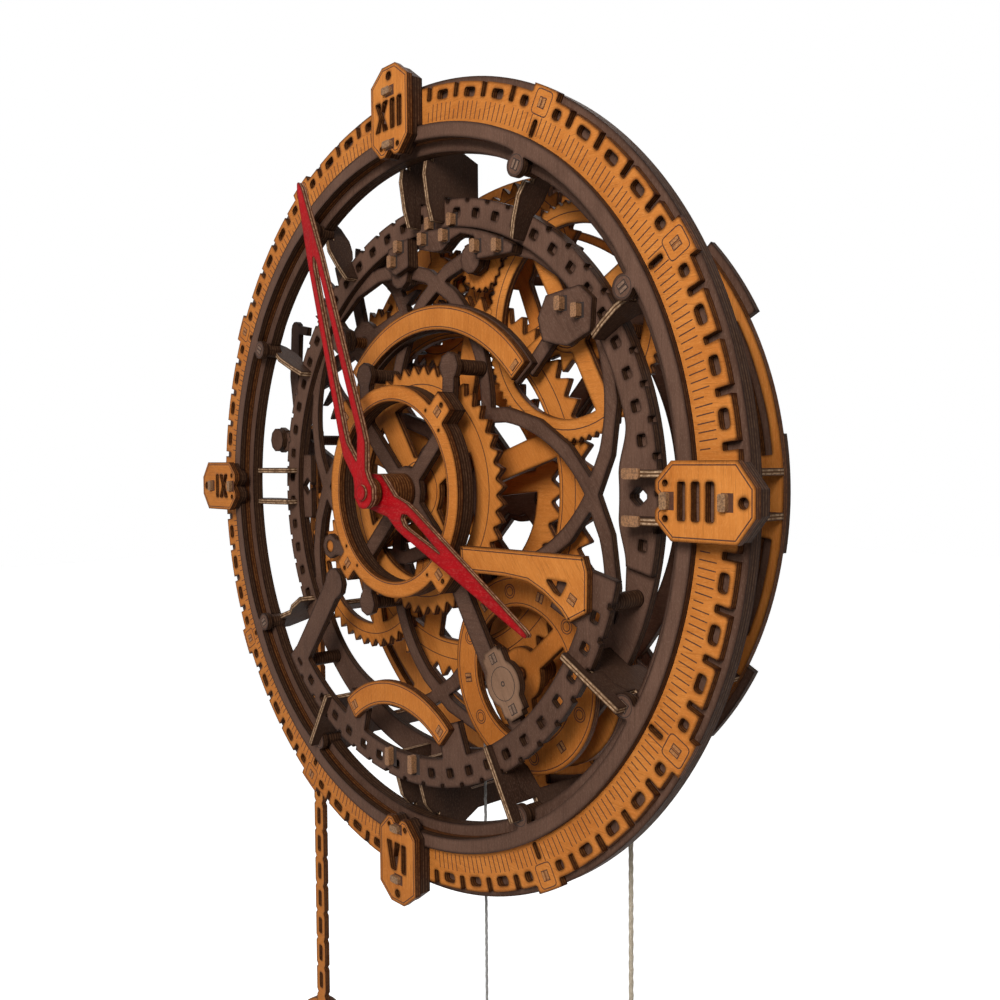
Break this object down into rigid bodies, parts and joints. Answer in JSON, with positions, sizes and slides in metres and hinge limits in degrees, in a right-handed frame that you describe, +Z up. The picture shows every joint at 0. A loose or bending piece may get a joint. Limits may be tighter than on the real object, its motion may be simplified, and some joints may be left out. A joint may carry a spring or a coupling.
{
  "type": "wall clock",
  "caption": "Open-frame plywood wall clock with a notched dial ring, Roman numeral plates, exposed gear train, red hands, slotted pendulum and drum cords.",
  "frame": {"origin": "on the clock axis, where the middle of the rear frame meets the wall", "axes": "+X towards III, +Y out of the dial back into the wall, +Z up towards XII"},
  "size_m": [0.391, 0.1035, 0.5875],
  "materials": {
    "orange_ply": "stained plywood with burnt edges",
    "brown_ply": "dark stained plywood",
    "red_ply": "red paint on plywood",
    "cord": "twisted beige cord",
    "grey_cord": "thin grey cord",
    "steel": "satin steel wire"
  },
  "bodies": {
    "frame": {"dial_ring": "orange_ply", "backing_ring": "brown_ply", "bezel_ring": "brown_ply", "numeral_plate_12": "orange_ply", "numeral_plate_3": "orange_ply", "numeral_plate_6": "orange_ply", "numeral_plate_9": "orange_ply", "numeral_block_12": "brown_ply", "numeral_block_3": "brown_ply", "numeral_block_6": "brown_ply", "numeral_block_9": "brown_ply", "strut_1": "brown_ply", "strut_2": "brown_ply", "strut_4": "brown_ply", "strut_5": "brown_ply", "strut_7": "brown_ply", "strut_8": "brown_ply", "strut_10": "brown_ply", "strut_11": "brown_ply", "strut_12a": "brown_ply", "strut_12b": "brown_ply", "strut_3a": "brown_ply", "strut_3b": "brown_ply", "strut_6a": "brown_ply", "strut_6b": "brown_ply", "strut_9a": "brown_ply", "strut_9b": "brown_ply", "movement_rim": "brown_ply", "lower_arc": "brown_ply", "movement_plate": "brown_ply", "bridge_plate": "brown_ply", "bridge_ring": "brown_ply", "centre_trim": "orange_ply", "drum_cap": "brown_ply", "plaque_upper": "orange_ply", "plaque_right": "orange_ply", "plaque_lower": "orange_ply", "back_ring": "orange_ply", "back_plate": "brown_ply", "rear_frame": "brown_ply", "cord_left": "grey_cord", "cord_right": "cord", "hook_left": "steel", "hook_right": "steel"},
    "minute": {"centre_arbor": "orange_ply", "centre_wheel": "orange_ply", "minute_hand": "red_ply"},
    "hour": {"hour_wheel": "orange_ply", "hour_hand": "red_ply"},
    "motion": {"motion_wheel": "orange_ply"},
    "drum": {"drum_core": "orange_ply", "drum_disc": "orange_ply"},
    "third": {"third_wheel": "orange_ply"},
    "fourth": {"fourth_wheel": "orange_ply"},
    "fifth": {"fifth_wheel": "orange_ply"},
    "escape": {"escape_wheel": "brown_ply", "escape_arbor": "orange_ply"},
    "pendulum": {"anchor": "brown_ply", "pendulum_rod": "orange_ply", "pendulum_bob": "orange_ply"}
  },
  "joints": [
    {"name": "minute_turn", "type": "hinge", "parent": "frame", "child": "minute", "pos_m": [0, -0.05, 0], "axis": [0, 1, 0], "continuous": true},
    {"name": "hour_turn", "type": "hinge", "parent": "frame", "child": "hour", "pos_m": [0, -0.07, 0], "axis": [0, 1, 0], "continuous": true},
    {"name": "motion_turn", "type": "hinge", "parent": "frame", "child": "motion", "pos_m": [-0.06549, -0.06, -0.02992], "axis": [0, 1, 0], "continuous": true},
    {"name": "drum_turn", "type": "hinge", "parent": "frame", "child": "drum", "pos_m": [0.06199, -0.04, -0.07949], "axis": [0, 1, 0], "continuous": true},
    {"name": "third_turn", "type": "hinge", "parent": "frame", "child": "third", "pos_m": [0.08318, -0.04, 0.07259], "axis": [0, 1, 0], "continuous": true},
    {"name": "fourth_turn", "type": "hinge", "parent": "frame", "child": "fourth", "pos_m": [0.02853, -0.035, 0.10666], "axis": [0, 1, 0], "continuous": true},
    {"name": "fifth_turn", "type": "hinge", "parent": "frame", "child": "fifth", "pos_m": [-0.02547, -0.035, 0.10678], "axis": [0, 1, 0], "continuous": true},
    {"name": "escape_turn", "type": "hinge", "parent": "frame", "child": "escape", "pos_m": [-0.08, -0.04, 0.079], "axis": [0, 1, 0], "continuous": true},
    {"name": "pendulum_swing", "type": "hinge", "parent": "frame", "child": "pendulum", "pos_m": [-0.148, -0.035, 0.027], "axis": [0, 1, 0], "range_deg": [-2.5, 2.5]}
  ],
  "couplings": [
    {"joint": "hour_turn", "follows": "minute_turn", "ratio": 0.083333},
    {"joint": "motion_turn", "follows": "minute_turn", "ratio": -0.33333},
    {"joint": "drum_turn", "follows": "minute_turn", "ratio": -1.3333},
    {"joint": "third_turn", "follows": "minute_turn", "ratio": -4.75},
    {"joint": "fourth_turn", "follows": "minute_turn", "ratio": 17.1},
    {"joint": "fifth_turn", "follows": "minute_turn", "ratio": -42.092},
    {"joint": "escape_turn", "follows": "minute_turn", "ratio": 101.02}
  ]
}
